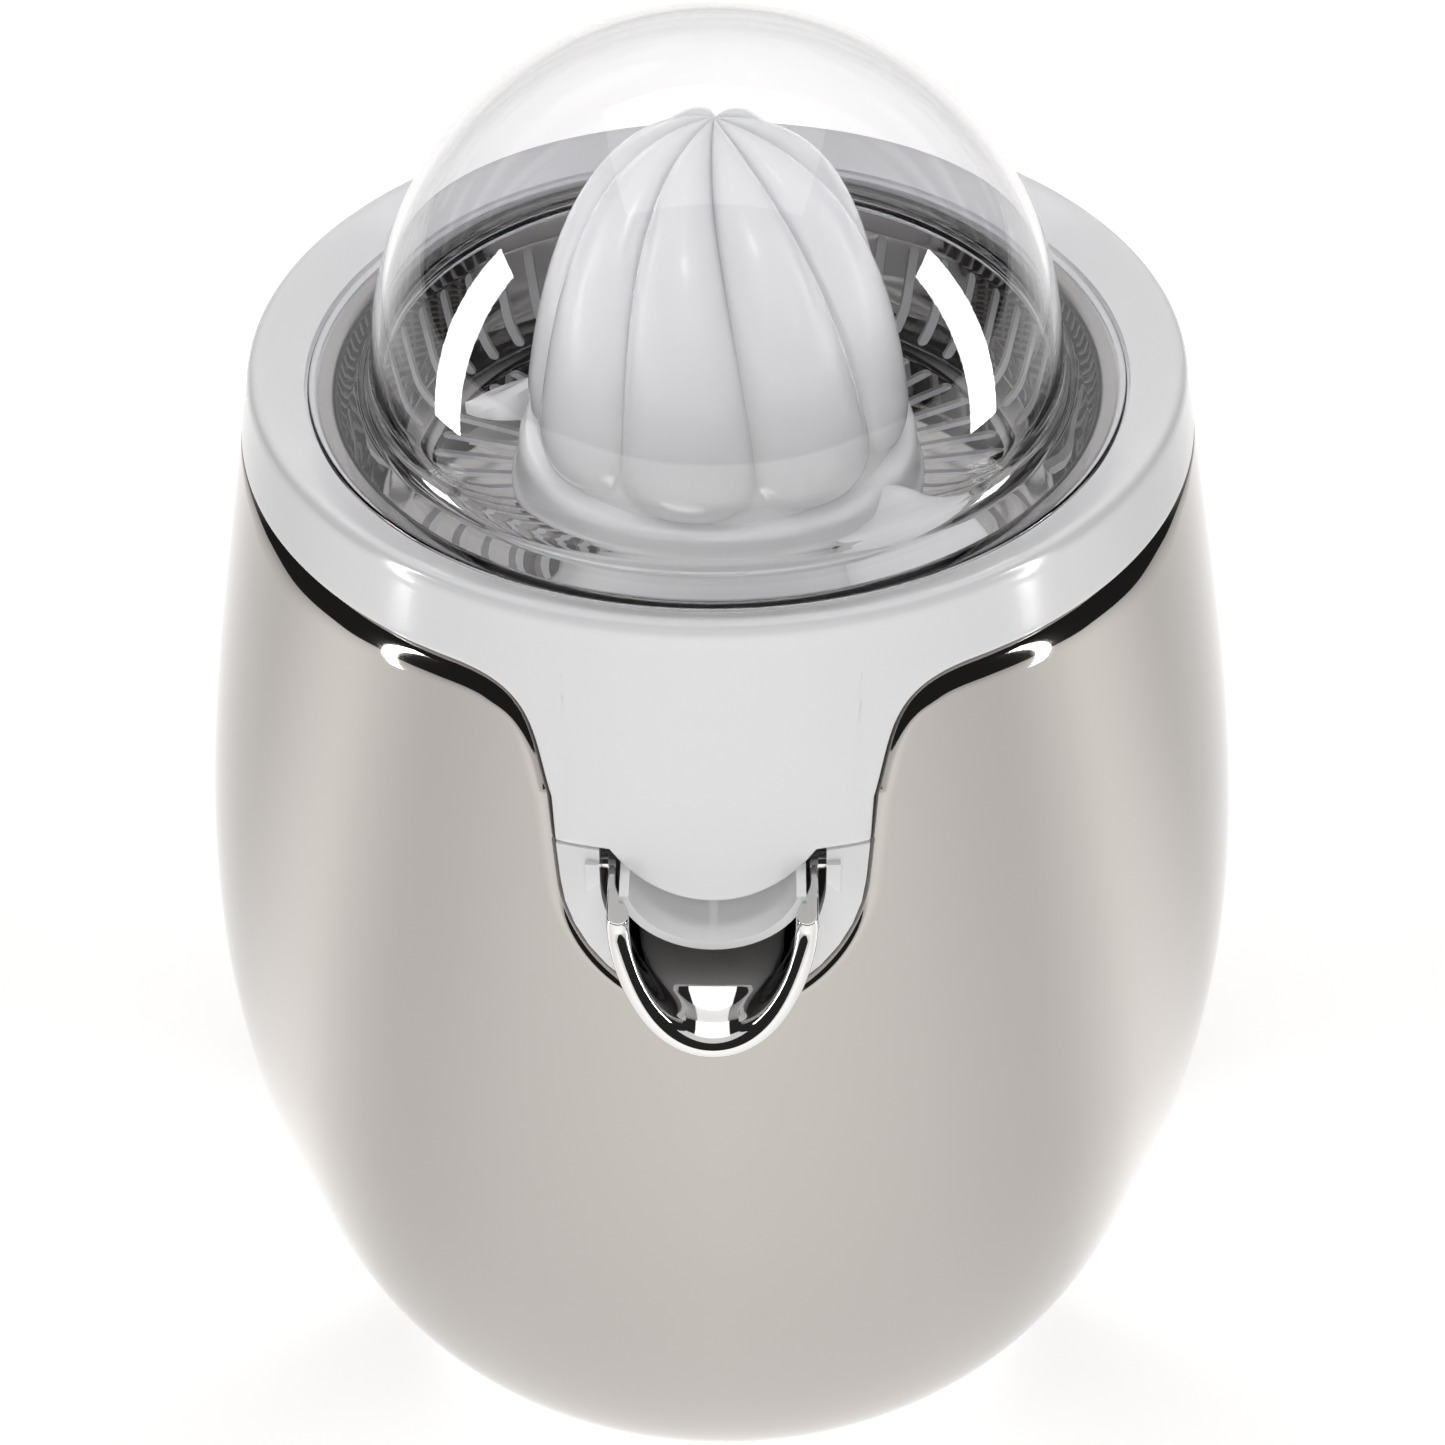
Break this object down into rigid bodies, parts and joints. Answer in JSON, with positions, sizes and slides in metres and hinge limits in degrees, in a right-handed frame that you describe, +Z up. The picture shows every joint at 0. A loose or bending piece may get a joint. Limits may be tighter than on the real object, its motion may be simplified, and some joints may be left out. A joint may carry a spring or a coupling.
{
  "type": "citrus press juicer",
  "caption": "Egg-shaped electric citrus press: steel body, lobed cone in a slotted strainer under a clear dome, lift-off juice bowl and a tilting drip-stop spout.",
  "frame": {"origin": "on the vertical axis of the body, at the surface it stands on", "axes": "+Z up, -Y towards the front where the spout is, +X to the right seen from the front"},
  "size_m": [0.19, 0.2, 0.2625],
  "materials": {
    "white_plastic": "glossy moulded white",
    "cone_plastic": "satin white",
    "grey_plastic": "matt moulded",
    "dark_plastic": "matt moulded",
    "nylon": "natural",
    "clear_plastic": "clear moulded",
    "shell_steel": "polished stainless",
    "bright_steel": "mirror stainless",
    "screw_steel": "zinc plated",
    "copper_winding": "enamelled copper",
    "brass_gear": "machined",
    "dark_rubber": "matt",
    "grey_rubber": "matt"
  },
  "bodies": {
    "root": {"base_cover": "white_plastic", "foot_ring": "dark_rubber", "base_screws": "screw_steel", "cord_inlet": "grey_rubber", "body_shell": "shell_steel", "chassis": "grey_plastic", "terminal_block": "white_plastic", "motor_can": "screw_steel", "stator": "copper_winding", "idler_axle": "screw_steel", "gearbox_cover": "grey_plastic", "gearbox_screws": "screw_steel", "return_spring": "screw_steel", "micro_switch": "dark_plastic", "deck": "white_plastic", "deck_screws": "screw_steel", "shaft_bush": "brass_gear", "shaft_seal": "dark_rubber", "spout_frame": "white_plastic", "spout_pins": "screw_steel"},
    "motor_rotor": {"rotor": "screw_steel", "motor_pinion": "brass_gear"},
    "idler": {"idler_gear": "nylon"},
    "plunger": {"plunger": "nylon"},
    "drive": {"drive_shaft": "screw_steel", "output_gear": "nylon"},
    "lever": {"switch_lever": "screw_steel"},
    "spout": {"spout": "bright_steel"},
    "bowl": {"juice_bowl": "white_plastic", "collar": "white_plastic"},
    "strainer": {"strainer": "bright_steel"},
    "cone_bush": {"cone_bush": "nylon"},
    "thrust_disc": {"thrust_disc": "screw_steel"},
    "cone": {"reamer_cone": "cone_plastic"},
    "cover": {"dome_cover": "clear_plastic"}
  },
  "joints": [
    {"name": "press", "type": "slide", "parent": "root", "child": "plunger", "axis": [0, 0, -1], "range_m": [0, 0.0015], "stiffness_N_per_m": 4000, "springref_m": -0.002, "deforming": ["return_spring"]},
    {"name": "shaft_spin", "type": "hinge", "parent": "plunger", "child": "drive", "pos_m": [0, 0, 0.11], "axis": [0, 0, 1], "continuous": true},
    {"name": "idler_spin", "type": "hinge", "parent": "root", "child": "idler", "pos_m": [0, 0.036, 0.1], "axis": [0, 0, 1], "continuous": true},
    {"name": "motor_spin", "type": "hinge", "parent": "root", "child": "motor_rotor", "pos_m": [-0.0288, 0.036, 0.06], "axis": [0, 0, 1], "continuous": true},
    {"name": "lever_swing", "type": "hinge", "parent": "root", "child": "lever", "pos_m": [0.028, 0, 0.1005], "axis": [0, -1, 0], "range_deg": [0, 7]},
    {"name": "spout_tilt", "type": "hinge", "parent": "root", "child": "spout", "pos_m": [0, -0.08, 0.1612], "axis": [-1, 0, 0], "range_deg": [0, 20]},
    {"name": "bowl_lift", "type": "slide", "parent": "root", "child": "bowl", "axis": [0, 0, 1], "range_m": [0, 0.07]},
    {"name": "strainer_lift", "type": "slide", "parent": "bowl", "child": "strainer", "axis": [0, 0, 1], "range_m": [0, 0.04]},
    {"name": "cone_lift", "type": "slide", "parent": "strainer", "child": "cone_bush", "axis": [0, 0, 1], "range_m": [0, 0.045]},
    {"name": "cone_press", "type": "slide", "parent": "cone_bush", "child": "thrust_disc", "axis": [0, 0, -1], "range_m": [0, 0.0015]},
    {"name": "cone_spin", "type": "hinge", "parent": "thrust_disc", "child": "cone", "pos_m": [0, 0, 0.2], "axis": [0, 0, 1], "continuous": true},
    {"name": "cover_lift", "type": "slide", "parent": "cone_bush", "child": "cover", "axis": [0, 0, 1], "range_m": [0, 0.06]}
  ],
  "couplings": [
    {"joint": "idler_spin", "follows": "shaft_spin", "ratio": -5},
    {"joint": "motor_spin", "follows": "shaft_spin", "ratio": 25},
    {"joint": "cone_spin", "follows": "shaft_spin", "ratio": 1},
    {"joint": "cone_press", "follows": "press", "ratio": 1},
    {"joint": "lever_swing", "follows": "press", "rad_per_m": 71.4}
  ]
}
